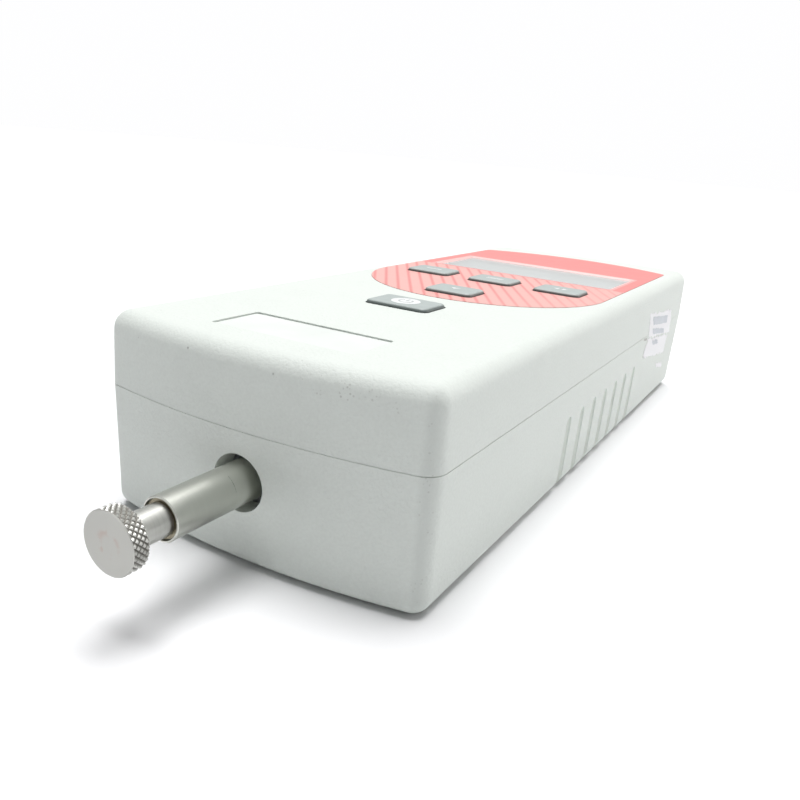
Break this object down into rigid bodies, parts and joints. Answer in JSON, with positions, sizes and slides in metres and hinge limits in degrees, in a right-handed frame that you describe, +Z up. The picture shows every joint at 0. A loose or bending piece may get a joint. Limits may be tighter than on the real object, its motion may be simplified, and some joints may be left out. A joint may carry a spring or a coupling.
{
  "type": "digital force gauge",
  "caption": "Hand-held digital force gauge: bowed two-part case with side grip grooves, sealed keypad and display, and a load shaft with a knurled flat adapter.",
  "frame": {"origin": "centre of the flat back, on which the gauge lies", "axes": "+Z up through the keypad, +Y towards the connector end, the load shaft leaves along -Y, +X to the right seen from above"},
  "size_m": [0.074, 0.2274, 0.0424],
  "materials": {
    "case_plastic": "fine spark texture",
    "overlay_film": "striped satin film",
    "window_clear": "clear",
    "plate_film": "satin",
    "key_plastic": "satin",
    "silicone": "matt",
    "spring_steel": "bright",
    "black_plastic": "matt",
    "lcd": "smooth",
    "circuit_board": "solder mask",
    "chip_plastic": "matt",
    "screw_steel": "zinc plated",
    "insert_brass": "turned",
    "chassis_aluminium": "milled",
    "cell_aluminium": "milled",
    "gauge_foil": "polyimide",
    "grey_sheath": "matt",
    "red_sheath": "matt",
    "cell_wrap": "shrink wrap",
    "plated_steel": "nickel plated",
    "shaft_steel": "ground",
    "adapter_steel": "turned and knurled"
  },
  "bodies": {
    "case": {"front_case": "case_plastic", "rear_case": "case_plastic", "keypad_overlay": "overlay_film", "display_window": "window_clear", "name_plate": "plate_film", "keypad_mat": "silicone", "dome_contacts": "spring_steel", "lcd_frame": "black_plastic", "lcd_glass": "lcd", "main_board": "circuit_board", "board_components": "chip_plastic", "buzzer": "black_plastic", "board_screws": "screw_steel", "case_screws": "screw_steel", "mounting_inserts": "insert_brass", "chassis_plate": "chassis_aluminium", "chassis_screws": "screw_steel", "overload_stop": "cell_aluminium", "load_cell": "cell_aluminium", "load_cell_screws": "screw_steel", "strain_gauges": "gauge_foil", "cell_lead": "grey_sheath", "battery_tray": "black_plastic", "battery_cells": "cell_wrap", "battery_tabs": "spring_steel", "battery_strap": "black_plastic", "battery_lead": "red_sheath", "interface_board": "circuit_board", "connector_shell": "plated_steel", "connector_insert": "chip_plastic", "connector_jackscrews": "plated_steel", "power_jack": "black_plastic", "power_jack_pin": "plated_steel", "ribbon_cable": "grey_sheath"},
    "key_left_body": {"key_left": "key_plastic"},
    "key_middle_body": {"key_middle": "key_plastic"},
    "key_right_body": {"key_right": "key_plastic"},
    "key_lower_body": {"key_lower": "key_plastic"},
    "key_power_body": {"key_power": "key_plastic"},
    "shaft": {"load_shaft": "shaft_steel"},
    "washer": {"adapter_washer": "insert_brass"},
    "adapter": {"flat_adapter": "adapter_steel"}
  },
  "joints": [
    {"name": "key_left_press", "type": "slide", "parent": "case", "child": "key_left_body", "axis": [0, 0, -1], "range_m": [0, 0.0007], "stiffness_N_per_m": 1600},
    {"name": "key_middle_press", "type": "slide", "parent": "case", "child": "key_middle_body", "axis": [0, 0, -1], "range_m": [0, 0.0007], "stiffness_N_per_m": 1600},
    {"name": "key_right_press", "type": "slide", "parent": "case", "child": "key_right_body", "axis": [0, 0, -1], "range_m": [0, 0.0007], "stiffness_N_per_m": 1600},
    {"name": "key_lower_press", "type": "slide", "parent": "case", "child": "key_lower_body", "axis": [0, 0, -1], "range_m": [0, 0.0007], "stiffness_N_per_m": 1600},
    {"name": "key_power_press", "type": "slide", "parent": "case", "child": "key_power_body", "axis": [0, 0, -1], "range_m": [0, 0.0007], "stiffness_N_per_m": 1600},
    {"name": "shaft_deflection", "type": "slide", "parent": "case", "child": "shaft", "axis": [0, 1, 0], "range_m": [-0.00025, 0.00025], "stiffness_N_per_m": 80000},
    {"name": "adapter_feed", "type": "slide", "parent": "shaft", "child": "washer", "axis": [0, -1, 0], "range_m": [0, 0.00635]},
    {"name": "adapter_turn", "type": "hinge", "parent": "washer", "child": "adapter", "pos_m": [0, -0.1171, 0.0166], "axis": [0, -1, 0], "range_deg": [0, 2880]}
  ],
  "couplings": [
    {"joint": "adapter_turn", "follows": "adapter_feed", "rad_per_m": 7915}
  ]
}
